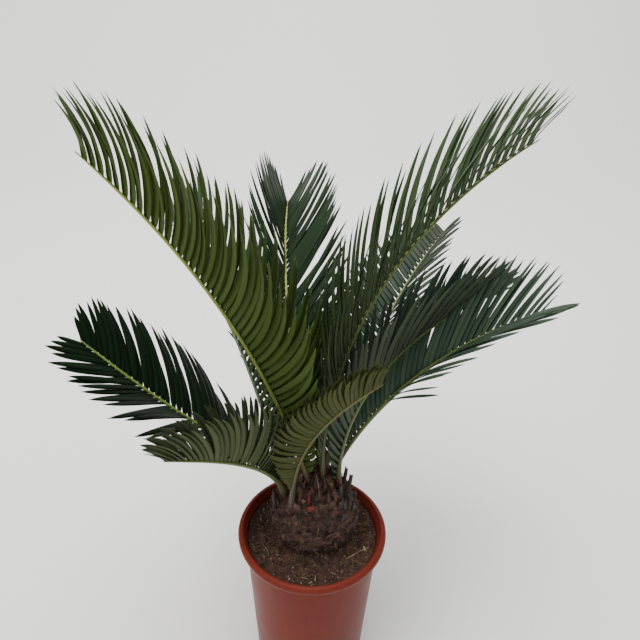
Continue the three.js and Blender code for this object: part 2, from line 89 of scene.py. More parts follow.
# Fronds, by the rule in the part's source. The first values, up to reach, seat the foot on
# the trunk's ball. Those up to twist are the stalk's directions and lengths. Those from vee
# to bow lay the leaflets out, and their length falls off by loss as the power fade. The
# rest is for the real leaflets alone: how many pairs there are, the curl and hang of their
# ends, their width in the middle, the tilt of the first and the last, and the tints. A
# frond with its own bare share of stalk below the leaflets has it as bare.
# The front and the low left frond rise from their solids' feet with angles of their own.
FRONDS = {
    "tall_left": dict(
        seat=208, reach=8.5, turn=187, lift=75, length=442, droop=26, sweep=15, roll=2, twist=-21,
        vee=72, sag=19, leaf=120, fan=(75, 44), bow=40, fade=5.1, loss=0.37, pairs=44, curl=0,
        tint="olive", stalk="yellow", wide=7.4, tilt=(9, 41)),
    "tall_right": dict(
        seat=-2, reach=7.5, turn=11, lift=91, length=456, droop=58, sweep=-10, roll=6, twist=14,
        vee=49, sag=15, leaf=125, fan=(37, 39), bow=23, fade=6.3, loss=0.43, pairs=44, curl=0,
        tint="sage", stalk="green", wide=7.0, tilt=(9, 31)),
    "back": dict(
        seat=125, reach=27, turn=97, lift=54, length=400, droop=45, sweep=-16, roll=-8, twist=1,
        vee=53, sag=-9, leaf=132, fan=(65, 46), bow=5, fade=6.1, loss=0.52, pairs=42, curl=0,
        tint="blue", stalk="yellow", wide=9.2, tilt=(-6, 6)),
    "back_left": dict(
        seat=170, reach=40, turn=132, lift=74, length=345, droop=49, sweep=-2, roll=-20, twist=9,
        vee=66, sag=-13, leaf=128, fan=(65, 55), bow=34, fade=6, pairs=36, curl=0, tint="deep",
        stalk="silver", wide=6.4, tilt=(2, 0)),
    "left": dict(
        seat=149, reach=38, turn=182, lift=37, length=290, droop=-10, sweep=-9, roll=-8, twist=47,
        vee=25, sag=26, leaf=145, fan=(84, 40), bow=14, fade=1.9, loss=0.62, pairs=34, curl=0,
        tint="dark", stalk="lime", wide=8.0, tilt=(-11, 4)),
    "back_right": dict(
        seat=68, reach=30, turn=61, lift=38, length=398, droop=23, sweep=-13, roll=14, twist=24,
        vee=41, sag=31, leaf=107, fan=(57, 64), bow=16, fade=2.3, loss=0.57, pairs=40, curl=0,
        tint="grey", stalk="green", wide=8.6, tilt=(-22, 16)),
    "right": dict(
        seat=40, reach=26, turn=-5, lift=69, length=325, droop=42, sweep=-4, roll=-12, twist=12,
        vee=38, sag=20, leaf=111, fan=(44, 33), bow=6, fade=7.1, loss=0.68, pairs=36, curl=0,
        tint="sea", stalk="green", wide=7.4, tilt=(-68, 51), splay=20, hang=70, near_from=0.3),
    "right_rear": dict(
        seat=4, reach=27, turn=16, lift=91, length=318, droop=84, sweep=11, roll=4, twist=1,
        vee=66, sag=6, leaf=95, fan=(42, 26), bow=14, fade=6, pairs=30, curl=0, tint="sea",
        stalk="green", wide=6.6, tilt=(-40, -6)),
    "low_left": dict(
        seat=196, reach=37, turn=227, lift=65, length=211, droop=47, sweep=-44, roll=-1, twist=30,
        vee=73, sag=-14, leaf=84, fan=(90, 41), bow=25, fade=2.7, loss=0.45, pairs=29, curl=18,
        bare=0.25, tint="moss", stalk="green", wide=6.2, tilt=(-23, 31)),
    "front": dict(
        seat=224, reach=36, turn=-13.5, lift=88, length=209, droop=56, sweep=45, roll=-21, twist=41,
        vee=70, sag=-20, leaf=48, fan=(100, 55), bow=21, fade=3.0, loss=0.28, pairs=32, curl=28,
        bare=0.21, tint="young", stalk="bronze", wide=6.2, tilt=(2, 8)),
    "rear_short": dict(
        seat=105, reach=42, turn=112, lift=48, length=290, droop=42, sweep=0, roll=0, twist=0,
        vee=36, sag=8, leaf=105, fan=(62, 36), bow=20, fade=3.2, pairs=32, curl=0, tint="deep",
        stalk="green", wide=7.0, tilt=(-3, 0)),
}

# ---- meshes -----------------------------------------------------------------------------


def make_piece(name, points, faces, materials, replaces=(), kinds=None, uv=None, smooth=True):
    """Puts one piece's arrays into a mesh.

    points is (n, 3) in millimetres, faces a list of arrays of corner numbers, kinds the
    material number of each face, in the faces' order, and uv one pair for each point.
    """
    mesh = bpy.data.meshes.new(name)
    rows = [row for block in faces for row in block.tolist()]
    mesh.from_pydata((points * MM).tolist(), [], rows)
    for material in materials:
        mesh.materials.append(material)
    if kinds is not None:
        mesh.polygons.foreach_set("material_index", np.asarray(kinds, dtype=np.int32))
    if uv is not None:
        corners = np.empty(len(mesh.loops), dtype=np.int32)
        mesh.loops.foreach_get("vertex_index", corners)
        mesh.uv_layers.new(name="UVMap").data.foreach_set("uv", uv[corners].astype(np.float32).ravel())
    mesh.polygons.foreach_set("use_smooth", np.full(len(rows), smooth))
    mesh.validate()
    piece = bpy.data.objects.new(name, mesh)
    bpy.context.scene.collection.objects.link(piece)
    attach(piece, "root")
    if replaces:
        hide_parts(*replaces)
    return piece


def tubes(rings, first, last):
    """Closed tubes from rings of points, as points and faces.

    rings is (tubes, rings, corners, 3), with each ring's corners counter-clockwise about
    the tube's direction; first and last are the points, (tubes, 3), that close the ends.
    Each quad joins corner i and i + 1 of one ring to the same corners of the next ring.
    """
    count, levels, corners, _ = rings.shape
    points = np.concatenate([rings.reshape(count, -1, 3), first[:, None], last[:, None]], axis=1)
    start = (np.arange(count) * points.shape[1])[:, None, None]
    level = np.arange(levels - 1)[None, :, None] * corners
    corner = np.arange(corners)[None, None, :]
    after = (corner + 1) % corners
    quads = np.stack([
        start + level + corner,
        start + level + after,
        start + level + corners + after,
        start + level + corners + corner,
    ], axis=-1)
    foot = start[:, 0] + levels * corners
    tip = foot + 1
    top = start[:, 0] + (levels - 1) * corners
    low_fan = np.stack([foot + 0 * corner[0], start[:, 0] + after[0], start[:, 0] + corner[0]], axis=-1)
    high_fan = np.stack([top + corner[0], top + after[0], tip + 0 * corner[0]], axis=-1)
    return points.reshape(-1, 3), [quads.reshape(-1, 4), low_fan.reshape(-1, 3), high_fan.reshape(-1, 3)]


def turned(profile, sides):
    """A profile of (radius, height) turned about the Z axis, closed by a point at each end.

    The point at angle a on profile point (r, z) is (r cos a, r sin a, z). The profile runs
    from the axis at the bottom, up the outside and back to the axis, so faces point out.
    """
    profile = np.asarray(profile, dtype=float)
    angle = np.arange(sides) / sides * 2 * math.pi
    ring = profile[1:-1]
    rings = np.empty((len(ring), sides, 3))
    rings[..., 0] = ring[:, :1] * np.cos(angle)
    rings[..., 1] = ring[:, :1] * np.sin(angle)
    rings[..., 2] = ring[:, 1:]
    foot = np.array([[0, 0, profile[0, 1]]])
    tip = np.array([[0, 0, profile[-1, 1]]])
    return tubes(rings[None], foot, tip)


def waves(points, size, seed, count=18):
    """Smooth random relief, about -1 to 1: sine waves of wavelengths near size, in random
    directions and with random phases, added up and divided by the root of their count."""
    rng = np.random.default_rng(seed)
    aim = rng.normal(size=(count, 3))
    aim /= np.linalg.norm(aim, axis=1, keepdims=True)
    length = size * rng.uniform(0.65, 1.5, count)
    phase = rng.uniform(0, 2 * math.pi, count)
    return np.sin(points @ (aim / length[:, None]).T * 2 * math.pi + phase).sum(axis=-1) / math.sqrt(count)


def unit(vectors):
    """Vectors divided by their lengths."""
    return vectors / np.linalg.norm(vectors, axis=-1, keepdims=True)


def radial(turn, rise):
    """The unit vector at an angle round the Z axis and an elevation, both in radians."""
    return np.stack([np.cos(rise) * np.cos(turn), np.cos(rise) * np.sin(turn), np.sin(rise)], axis=-1)


# ---- materials --------------------------------------------------------------------------


def srgb(code, alpha=1.0):
    """An sRGB hex colour as linear red, green, blue and alpha."""
    values = [int(code[i:i + 2], 16) / 255 for i in (1, 3, 5)]
    return [v / 12.92 if v <= 0.04045 else ((v + 0.055) / 1.055) ** 2.4 for v in values] + [alpha]


def add(tree, kind, inputs=None, stops=None, **settings):
    """Adds one node. inputs maps a socket's name or number to a value or to another node's
    output; stops are a colour ramp's (place, colour) pairs."""
    node = tree.nodes.new(kind)
    for name, value in settings.items():
        setattr(node, name, value)
    for key, value in (inputs or {}).items():
        if isinstance(value, bpy.types.NodeSocket):
            tree.links.new(value, node.inputs[key])
        else:
            node.inputs[key].default_value = value
    if stops:
        elements = node.color_ramp.elements
        while len(elements) < len(stops):
            elements.new(0.5)
        for element, (place, colour) in zip(elements, stops):
            element.position = place
            element.color = colour
    return node


def new_material(name):
    """An empty material with its output node: (material, node tree, output)."""
    material = bpy.data.materials.new(name)
    material.use_nodes = True
    tree = material.node_tree
    tree.nodes.clear()
    return material, tree, add(tree, "ShaderNodeOutputMaterial")


def moulded_polypropylene():
    """Terracotta-coloured polypropylene, injection moulded: an even satin skin with faint
    flow streaks, slight unevenness, and dust and soil specks in patches."""
    material, tree, output = new_material("moulded_terracotta_polypropylene")
    place = add(tree, "ShaderNodeTexCoord").outputs["Object"]
    # Clouding of the pigment, about 60 mm across.
    cloud = add(tree, "ShaderNodeTexNoise", {"Vector": place, "Scale": 16.0, "Detail": 3.0})
    # Flow streaks run up the wall: 4 mm wide and about 80 mm long.
    stretched = add(tree, "ShaderNodeMapping", {"Vector": place, "Scale": (1.0, 1.0, 0.05)})
    streak = add(tree, "ShaderNodeTexNoise", {"Vector": stretched.outputs[0], "Scale": 250.0, "Detail": 2.0})
    mixed = add(tree, "ShaderNodeMix", {"Factor": 0.35, 2: cloud.outputs["Fac"], 3: streak.outputs["Fac"]})
    pigment = add(tree, "ShaderNodeValToRGB", {"Fac": mixed.outputs[0]}, stops=[
        (0.3, srgb("#5e2319")),
        (0.7, srgb("#6a291f")),
    ])
    # Specks of soil stuck to the skin, 1 mm and less, few and far between.
    speck = add(tree, "ShaderNodeTexVoronoi", {"Vector": place, "Scale": 95.0})
    patchy = add(tree, "ShaderNodeTexNoise", {"Vector": place, "Scale": 24.0, "Detail": 1.0})
    reach = add(tree, "ShaderNodeMapRange", {
        "Value": patchy.outputs["Fac"], "From Min": 0.62, "From Max": 0.72, "To Min": 0.0, "To Max": 0.07})
    dirt = add(tree, "ShaderNodeMath", {
        0: speck.outputs["Distance"], 1: reach.outputs[0]}, operation="LESS_THAN")
    colour = add(tree, "ShaderNodeMix", {
        "Factor": dirt.outputs[0], 6: pigment.outputs["Color"], 7: srgb("#33241d")}, data_type="RGBA")
    sheen = add(tree, "ShaderNodeMapRange", {
        "Value": cloud.outputs["Fac"], "From Min": 0.3, "From Max": 0.7, "To Min": 0.3, "To Max": 0.4})
    # Skin of the mould, a grain of about 0.6 mm drawn shallow.
    grain = add(tree, "ShaderNodeTexNoise", {"Vector": place, "Scale": 1500.0, "Detail": 2.0})
    height = add(tree, "ShaderNodeMix", {"Factor": 0.4, 2: grain.outputs["Fac"], 3: streak.outputs["Fac"]})
    bump = add(tree, "ShaderNodeBump", {"Height": height.outputs[0], "Strength": 0.12, "Distance": 0.0002})
    shader = add(tree, "ShaderNodeBsdfPrincipled", {
        "Base Color": colour.outputs[2], "Roughness": sheen.outputs[0], "Normal": bump.outputs[0],
        "IOR": 1.49, "Specular IOR Level": 0.07})
    tree.links.new(shader.outputs[0], output.inputs["Surface"])
    return material


def earthy(name, dark, middle, light, size_mm, depth_mm, roughness=0.92):
    """A rough matt natural surface, such as potting mix or old leaf bases: three tones in
    lumps of size_mm with a finer grain, and a bump of depth_mm."""
    material, tree, output = new_material(name)
    place = add(tree, "ShaderNodeTexCoord").outputs["Object"]
    lumps = add(tree, "ShaderNodeTexNoise", {
        "Vector": place, "Scale": 1000.0 / size_mm, "Detail": 6.0, "Roughness": 0.65})
    tones = add(tree, "ShaderNodeValToRGB", {"Fac": lumps.outputs["Fac"]}, stops=[
        (0.32, srgb(dark)),
        (0.52, srgb(middle)),
        (0.74, srgb(light)),
    ])
    fine = add(tree, "ShaderNodeTexNoise", {"Vector": place, "Scale": 3000.0 / size_mm, "Detail": 4.0})
    bump = add(tree, "ShaderNodeBump", {
        "Height": fine.outputs["Fac"], "Strength": 0.9, "Distance": depth_mm * MM})
    shader = add(tree, "ShaderNodeBsdfPrincipled", {
        "Base Color": tones.outputs["Color"], "Normal": bump.outputs[0],
        "Roughness": roughness, "IOR": 1.45, "Specular IOR Level": 0.35})
    tree.links.new(shader.outputs[0], output.inputs["Surface"])
    return material


def fibrous(name, dark, light, roughness=0.85):
    """Dry plant fibre that runs up the piece: streaks 1.2 mm wide and 20 mm long, stretched
    along Z, with a ridged bump."""
    material, tree, output = new_material(name)
    place = add(tree, "ShaderNodeTexCoord").outputs["Object"]
    stretched = add(tree, "ShaderNodeMapping", {"Vector": place, "Scale": (1.0, 1.0, 0.12)})
    streak = add(tree, "ShaderNodeTexNoise", {
        "Vector": stretched.outputs[0], "Scale": 420.0, "Detail": 5.0, "Roughness": 0.6})
    tones = add(tree, "ShaderNodeValToRGB", {"Fac": streak.outputs["Fac"]}, stops=[
        (0.34, srgb(dark)),
        (0.66, srgb(light)),
    ])
    bump = add(tree, "ShaderNodeBump", {
        "Height": streak.outputs["Fac"], "Strength": 0.8, "Distance": 0.0008})
    shader = add(tree, "ShaderNodeBsdfPrincipled", {
        "Base Color": tones.outputs["Color"], "Normal": bump.outputs[0],
        "Roughness": roughness, "IOR": 1.45, "Specular IOR Level": 0.4})
    tree.links.new(shader.outputs[0], output.inputs["Surface"])
    return material


def waxy_leaf(name, colour, roughness, shine):
    """Leathery leaflet with a waxy skin: one plain green, a soft broad gloss, and a bump of
    fine veins along the leaflet, 1 mm apart, read from the piece's own UV map."""
    material, tree, output = new_material(name)
    own = add(tree, "ShaderNodeUVMap", uv_map="UVMap").outputs[0]
    stretched = add(tree, "ShaderNodeMapping", {"Vector": own, "Scale": (7.0, 3.0, 1.0)})
    veins = add(tree, "ShaderNodeTexNoise", {"Vector": stretched.outputs[0], "Scale": 1.0, "Detail": 2.0})
    bump = add(tree, "ShaderNodeBump", {"Height": veins.outputs["Fac"], "Strength": 0.25, "Distance": 0.0003})
    shader = add(tree, "ShaderNodeBsdfPrincipled", {
        "Base Color": srgb(colour), "Normal": bump.outputs[0],
        "Roughness": roughness, "IOR": 1.45, "Specular IOR Level": shine})
    tree.links.new(shader.outputs[0], output.inputs["Surface"])
    return material


def leaf_stalk(name, foot, middle, tip):
    """Frond stalk: smooth and satin, woolly brown at its foot and green above, shaded from
    foot to tip by the piece's own UV map, with a faint grain."""
    material, tree, output = new_material(name)
    own = add(tree, "ShaderNodeUVMap", uv_map="UVMap").outputs[0]
    along = add(tree, "ShaderNodeSeparateXYZ", {"Vector": own}).outputs["Y"]
    tones = add(tree, "ShaderNodeValToRGB", {"Fac": along}, stops=[
        (0.0, srgb("#3a2a1b")),
        (0.06, srgb(foot)),
        (0.25, srgb(middle)),
        (1.0, srgb(tip)),
    ])
    place = add(tree, "ShaderNodeTexCoord").outputs["Object"]
    grain = add(tree, "ShaderNodeTexNoise", {"Vector": place, "Scale": 700.0, "Detail": 3.0})
    bump = add(tree, "ShaderNodeBump", {"Height": grain.outputs["Fac"], "Strength": 0.3, "Distance": 0.0004})
    shader = add(tree, "ShaderNodeBsdfPrincipled", {
        "Base Color": tones.outputs["Color"], "Normal": bump.outputs[0],
        "Roughness": 0.45, "IOR": 1.45, "Specular IOR Level": 0.5})
    tree.links.new(shader.outputs[0], output.inputs["Surface"])
    return material


def plain(name, colour, roughness):
    """One even matt colour, for pieces too small for a pattern to show: dust, straw, paint."""
    material, tree, output = new_material(name)
    shader = add(tree, "ShaderNodeBsdfPrincipled", {"Base Color": srgb(colour), "Roughness": roughness})
    tree.links.new(shader.outputs[0], output.inputs["Surface"])
    return material


# ---- fronds -----------------------------------------------------------------------------


def directions(frond, share):
    """Unit vectors along the stalk, across the blade and out of it, at shares of its length.

    The stalk rises at lift - droop * share ** 1.2 and heads turn + sweep * (share - 0.5);
    the blade is turned about it by roll + twist * (share - 0.5).
    """
    share = np.asarray(share, dtype=float)
    rise = np.radians(frond["lift"] - frond["droop"] * share ** 1.2)
    turn = np.radians(frond["turn"] + frond["sweep"] * (share - 0.5))
    roll = np.radians(frond["roll"] + frond["twist"] * (share - 0.5))[..., None]
    along = radial(turn, rise)
    up = radial(turn, rise + math.pi / 2)
    level = np.cross(along, up)
    across = np.cos(roll) * level + np.sin(roll) * up
    out = -np.sin(roll) * level + np.cos(roll) * up
    return along, across, out


def with_path(frond):
    """Adds the stalk's path: straight steps from the foot on the trunk's ball, each along
    the direction at its own middle."""
    seat = math.radians(frond["seat"])
    reach = frond["reach"]
    height = math.sqrt(TRUNK_RADIUS ** 2 - reach ** 2)
    foot = TRUNK_CENTRE + [reach * math.cos(seat), reach * math.sin(seat), height]
    along, _, _ = directions(frond, (np.arange(WALK_STEPS) + 0.5) / WALK_STEPS)
    path = foot + np.concatenate([[[0, 0, 0]], np.cumsum(along * frond["length"] / WALK_STEPS, axis=0)])
    return dict(frond, path=path)


def on_stalk(frond, share):
    """Points of the stalk's path at shares of its length; below 0 it runs into the trunk."""
    share = np.asarray(share, dtype=float)
    step = np.linspace(0, 1, WALK_STEPS + 1)
    inside = np.clip(share, 0, 1)
    point = np.stack([np.interp(inside, step, frond["path"][:, axis]) for axis in range(3)], axis=-1)
    along, _, _ = directions(frond, 0.0)
    return point + np.minimum(share, 0)[..., None] * frond["length"] * along


def stalk_half_width(frond, share):
    """Half the stalk's width: an even taper from STEM_BODY to STEM_TIP, and a flare that
    dies away over STEM_FLARE above the foot."""
    inside = np.maximum(share, 0)
    flare = (STEM_FOOT - STEM_BODY) * np.exp(-inside * frond["length"] / STEM_FLARE)
    return flare + STEM_BODY + (STEM_TIP - STEM_BODY) * inside


def stalk_mesh(frond):
    """A frond's petiole and rachis: a section carried along the path. The section is an
    ellipse, 0.85 as thick as wide, with a shallow channel along its upper side."""
    levels = 72
    corners = 12
    first = -STEM_SUNK / frond["length"]
    share = first + (1 - first) * np.linspace(0, 1, levels) ** 1.2
    _, across, out = directions(frond, np.maximum(share, 0))
    half = stalk_half_width(frond, share)[:, None, None]
    # The last tenth narrows to the tip.
    half = half * (1 - 5.5 * (np.maximum(share, 0.9) - 0.9))[:, None, None]
    angle = np.arange(corners) / corners * 2 * math.pi
    side = np.cos(angle)[None, :, None]
    lift = np.sin(angle)[None, :, None] * 0.85
    channel = 0.28 * np.exp(-(side / 0.3) ** 2) * (lift > 0)
    centre = on_stalk(frond, share)
    # Going round from across towards out is clockwise about the stalk, so the order turns.
    rings = centre[:, None] + half * (-side * across[:, None] + (lift - channel) * out[:, None])
    rings = rings[:, ::-1]
    points, faces = tubes(rings[None], centre[:1], centre[-1:] + directions(frond, 1.0)[0] * 1.5)
    along = np.append(np.repeat(share, corners), [share[0], 1.0])
    around = np.append(np.tile(angle / (2 * math.pi), levels), [0.5, 0.5])
    return points, faces, np.stack([around, np.clip(along, 0, 1)], axis=-1)


def leaf_length(frond, place):
    """Length of the leaflets along the leafy part, over the longest one's: it grows fast
    over the first pairs, falls off by the share loss as the power fade of the place, and at
    the very tip once more. Below the first full pair, at place 0, are a few short ones."""
    inside = np.maximum(place, 0)
    falling = 1 - frond.get("loss", LEAF_LOSS) * inside ** frond["fade"] - 0.2 * inside ** 20
    return np.clip(0.42 + 2.6 * place, 0.12, 1) * falling


# A leaflet's section, as (half widths across, half widths up): a rounded upper face with a
# shallow groove over the midrib, margins rolled under, and a keel below.
LEAF_SECTION = np.array([
    (1.0, -0.22),
    (0.6, -0.03),
    (0.0, 0.01),
    (-0.6, -0.03),
    (-1.0, -0.22),
    (-0.5, -0.2),
    (0.0, -0.28),
    (0.5, -0.2),
])
LEAF_TOP_FACES = 4
LEAF_LEVELS = 13
LOW_PAIRS = 4


def leaflet_mesh(frond, seed):
    """Both rows of a frond's leaflets: points, faces, which faces are under sides, the
    leaflet that each face is on, and the UV map.

    Each starts on the stalk's centre line, where the leafy part has reached its place. It
    heads off at the fan angle from the stalk, in a plane raised by vee out of the blade.
    Along its length the fan angle falls by bow and the vee by sag; the lowest ones stand
    wider by splay and hang by hang. The blade is turned about its own line by tilt. The
    half width swells over the first tenth, stays even, and runs out to a point. With
    near_from, the row on the right of the stalk starts at that place.
    """
    rng = np.random.default_rng(seed)
    count = frond["pairs"]
    number = np.arange(-LOW_PAIRS, count)
    place = np.repeat(number / (count - 0.5), 2) + np.tile([0, 0.25 / count], len(number))
    side = np.tile([-1.0, 1.0], len(number))
    grown = (side < 0) | (place >= frond.get("near_from", -1))
    place, side = place[grown], side[grown]
    total = len(place)
    bare = frond.get("bare", BARE_SHARE)
    share = bare + (LAST_PAIR - bare) * place
    along, across, out = directions(frond, share)
    root = on_stalk(frond, share)
    uneven = 1 + 0.035 * rng.normal(size=total).clip(-1.5, 0.9)
    length = frond["leaf"] * leaf_length(frond, place) * uneven

    reach = np.linspace(0, 1, LEAF_LEVELS + 1)
    low = (1 - np.maximum(place, 0)) ** 4
    fan_first = frond["fan"][0] + (frond["fan"][1] - frond["fan"][0]) * place + 1.6 * rng.normal(size=total)
    fan_first += frond.get("splay", 0) * low
    vee_first = frond["vee"] + 2.0 * rng.normal(size=total)
    sag = frond["sag"] + frond.get("hang", 0) * low
    curl = frond["curl"] * rng.uniform(0.5, 1.2, total)
    first_tilt, last_tilt = frond["tilt"]
    tilt = first_tilt + (last_tilt - first_tilt) * np.maximum(place, 0) + 4 * rng.normal(size=total)
    tilt = np.radians(tilt * side)[:, None, None]

    def headings(step):
        """Directions along and across each leaflet at shares of its length."""
        hook = np.maximum(0, step - 0.6) / 0.4
        fan = np.radians(fan_first[:, None] - frond["bow"] * step - curl[:, None] * hook)[..., None]
        vee = np.radians(vee_first[:, None] - sag[:, None] * step + 0.6 * curl[:, None] * hook)[..., None]
        level = across[:, None] * side[:, None, None]
        sideways = np.cos(vee) * level + np.sin(vee) * out[:, None]
        ahead = np.cos(fan) * along[:, None] + np.sin(fan) * sideways
        level_width = (np.sin(fan) * along[:, None] - np.cos(fan) * sideways) * side[:, None, None]
        return ahead, np.cos(tilt) * level_width + np.sin(tilt) * np.cross(ahead, level_width)

    ahead, _ = headings((reach[1:] + reach[:-1]) / 2)
    steps = np.cumsum(ahead * (length / LEAF_LEVELS)[:, None, None], axis=1)
    centre = root[:, None] + np.concatenate([np.zeros((total, 1, 3)), steps], axis=1)
    ahead, width = headings(reach)
    face = np.cross(ahead, width)
    size = frond["wide"] / 2 * (0.8 + 0.2 * np.minimum(1, length / 110))
    swell = (1 - 0.5 * np.exp(-reach / 0.05)) * (1 - reach ** 6)
    half = (size[:, None] * swell)[:, :-1, None, None]
    section = LEAF_SECTION[None, None]
    rings = (
        centre[:, :-1, None]
        + half * section[..., :1] * width[:, :-1, None]
        + half * section[..., 1:] * face[:, :-1, None]
    )
    points, faces = tubes(rings, centre[:, 0], centre[:, -1])

    # Faces come in three blocks: the quads of all leaflets, their feet and their tips.
    corners = len(LEAF_SECTION)
    bands = np.array([LEAF_LEVELS - 1, 1, 1])
    under = np.tile(np.arange(corners) >= LEAF_TOP_FACES, total * bands.sum())
    owner = np.concatenate([np.repeat(np.arange(total), band * corners) for band in bands])
    u = np.tile((LEAF_SECTION[:, 0] + 1) / 2, LEAF_LEVELS)
    v = np.repeat(reach[:-1], corners)
    own = np.stack([np.append(u, [0.5, 0.5]), np.append(v, [0.0, 1.0])], axis=-1)
    return points, faces, under, owner, np.tile(own, (total, 1))


# Greens of the fronds: (upper face, under side) for the two tones dealt out in each tint.
LEAF_TINTS = {
    "olive": [("#2f3e13", "#3d4c20"), ("#37471b", "#425126")],
    "sage": [("#2a3a20", "#3e4932"), ("#344327", "#454f38")],
    "deep": [("#293c1f", "#3d4c31"), ("#334526", "#435237")],
    "blue": [("#202c1e", "#313c29"), ("#263423", "#38422e")],
    "sea": [("#314032", "#454f40"), ("#3b4a3a", "#4c5643")],
    "grey": [("#242f22", "#353d32"), ("#2d3728", "#3b4337")],
    "moss": [("#2f3a21", "#434a2f"), ("#384128", "#494f34")],
    "young": [("#373a1b", "#404425"), ("#3e401f", "#464929")],
    "dark": [("#0c180b", "#162313"), ("#0f1c0f", "#1a2716")],
}
STALK_TINTS = {
    "yellow": ("#5a4f26", "#6f7a33", "#8a9440"),
    "lime": ("#3f4420", "#4f6526", "#64792f"),
    "green": ("#4a4526", "#4c5a2a", "#5f6d33"),
    "silver": ("#5a5740", "#74806a", "#7c8a66"),
    "bronze": ("#33301c", "#4a4a24", "#666030"),
}


def build_fronds():
    """Every frond's stalk and leaflets, each in place of the frond's solid."""
    leaf_materials = {}
    for tint, pairs in LEAF_TINTS.items():
        # The darkest tint gets almost no shine on its upper faces.
        upper_shine = 0.04 if tint == "dark" else 0.16
        leaf_materials[tint] = [
            waxy_leaf("waxy_leaf_%s_%s_%d" % (tint, part, number), tone, gloss, shine)
            for number, (upper, under) in enumerate(pairs)
            for part, tone, gloss, shine in [
                ("upper", upper, 0.45, upper_shine), ("under", under, 0.6, 0.1)]
        ]
    stalk_materials = {tint: leaf_stalk("leaf_stalk_" + tint, *tones) for tint, tones in STALK_TINTS.items()}
    for number, (name, values) in enumerate(FRONDS.items()):
        frond = with_path(values)
        points, faces, uv = stalk_mesh(frond)
        make_piece("stalk_" + name, points, faces, [stalk_materials[frond["stalk"]]],
                   ["frond_" + name], uv=uv)
        points, faces, under, owner, uv = leaflet_mesh(frond, 40 + number)
        tone = np.random.default_rng(90 + number).integers(0, 2, owner.max() + 1)
        kinds = 2 * tone[owner] + under
        make_piece("leaflets_" + name, points, faces, leaf_materials[frond["tint"]],
                   ["frond_" + name], kinds=kinds, uv=uv)


# ---- pot --------------------------------------------------------------------------------


def wall_radius(height):
    """Outside radius of the pot's wall at a height."""
    return POT_FOOT_RADIUS + (POT_MOUTH_RADIUS - POT_FOOT_RADIUS) * height / POT_HEIGHT


def pot_profile():
    """The pot's profile, as (radius, height): up the outside, over the lip and down inside.
    The wall tapers evenly, the lip flares out on a hollow curve and rolls over on a quarter
    ellipse, and the floor is flat, in rings that keep its faces near the drain holes small."""
    bottom = POT_HEIGHT - LIP_DEPTH
    heights = np.linspace(3, bottom - 6, 24)
    wall = np.stack([wall_radius(heights), heights], axis=-1)
    foot_angle = np.linspace(0, math.pi / 2, 5)
    foot = np.stack([POT_FOOT_RADIUS - 2 + 2.1 * np.sin(foot_angle), 2 - 2 * np.cos(foot_angle)], axis=-1)
    # Hollow curve from the wall out to the lip's lower edge: a smooth step.
    t = np.linspace(0, 1, 9)
    flare_radius = wall_radius(bottom) + (LIP_RADIUS - 0.9 - wall_radius(bottom)) * t ** 2.2
    flare = np.stack([flare_radius, bottom - 5 + 5.6 * t ** 0.8], axis=-1)
    lower = np.array([(LIP_RADIUS - 0.3, bottom + 2.4), (LIP_RADIUS, bottom + 5)])
    angle = np.linspace(0.06, math.pi / 2, 12)
    band_inside = LIP_RADIUS - LIP_BAND
    roll = np.stack([
        band_inside + LIP_BAND * np.cos(angle),
        POT_HEIGHT - LIP_RISE + LIP_RISE * np.sin(angle),
    ], axis=-1)
    # Inside, the lip rounds over and a hollow collar runs in to the straight wall.
    angle = np.linspace(0.25, math.pi / 2, 5)
    inner_edge = np.stack([
        band_inside - 1.6 * np.sin(angle), POT_HEIGHT - 1.6 * (1 - np.cos(angle))], axis=-1)
    heights = np.linspace(POT_HEIGHT - 2.5, POT_HEIGHT - COLLAR_HEIGHT, 6)
    t = (heights - heights[-1]) / (heights[0] - heights[-1])
    straight = wall_radius(heights) - POT_WALL
    collar = np.stack([straight + (band_inside - 1.9 - straight) * t ** 1.6, heights], axis=-1)
    heights = np.linspace(POT_HEIGHT - COLLAR_HEIGHT - 4, POT_FLOOR + 0.5, 14)
    inner = np.stack([wall_radius(heights) - POT_WALL, heights], axis=-1)
    floor_out = np.array([(r, 0.0) for r in (12, 30, 38, 50, 60)])
    floor_in = np.array([(r, float(POT_FLOOR)) for r in (62, 50, 38, 30, 12)])
    return np.concatenate([
        [(0, 0)], floor_out, foot, wall, flare, lower, roll, inner_edge, collar, inner, floor_in,
        [(0, POT_FLOOR)]])


def drill_floor(pot):
    """Cuts the drain holes: round drills, evenly spaced on a circle and joined in one mesh."""
    turn = np.arange(DRAIN_COUNT) / DRAIN_COUNT * 2 * math.pi
    centre = np.stack([DRAIN_CIRCLE * np.cos(turn), DRAIN_CIRCLE * np.sin(turn)], axis=-1)
    angle = np.arange(24) / 24 * 2 * math.pi
    circle = np.stack([np.cos(angle), np.sin(angle)], axis=-1) * DRAIN_RADIUS
    rings = np.empty((DRAIN_COUNT, 2, 24, 3))
    rings[..., :2] = centre[:, None, None] + circle[None, None]
    heights = np.array([-5.0, POT_FLOOR + 5.0])
    rings[..., 2] = heights[None, :, None]
    ends = [np.concatenate([centre, np.full((DRAIN_COUNT, 1), z)], axis=1) for z in heights]
    points, faces = tubes(rings, *ends)
    mesh = bpy.data.meshes.new("drills")
    mesh.from_pydata((points * MM).tolist(), [], [row for block in faces for row in block.tolist()])
    drills = bpy.data.objects.new("drills", mesh)
    bpy.context.scene.collection.objects.link(drills)
    cut = pot.modifiers.new("drain_holes", "BOOLEAN")
    cut.operation = "DIFFERENCE"
    cut.solver = "EXACT"
    cut.object = drills
    bpy.context.view_layer.update()
    drilled = bpy.data.meshes.new_from_object(pot.evaluated_get(bpy.context.evaluated_depsgraph_get()))
    pot.modifiers.clear()
    pot.data = drilled
    bpy.data.objects.remove(drills)


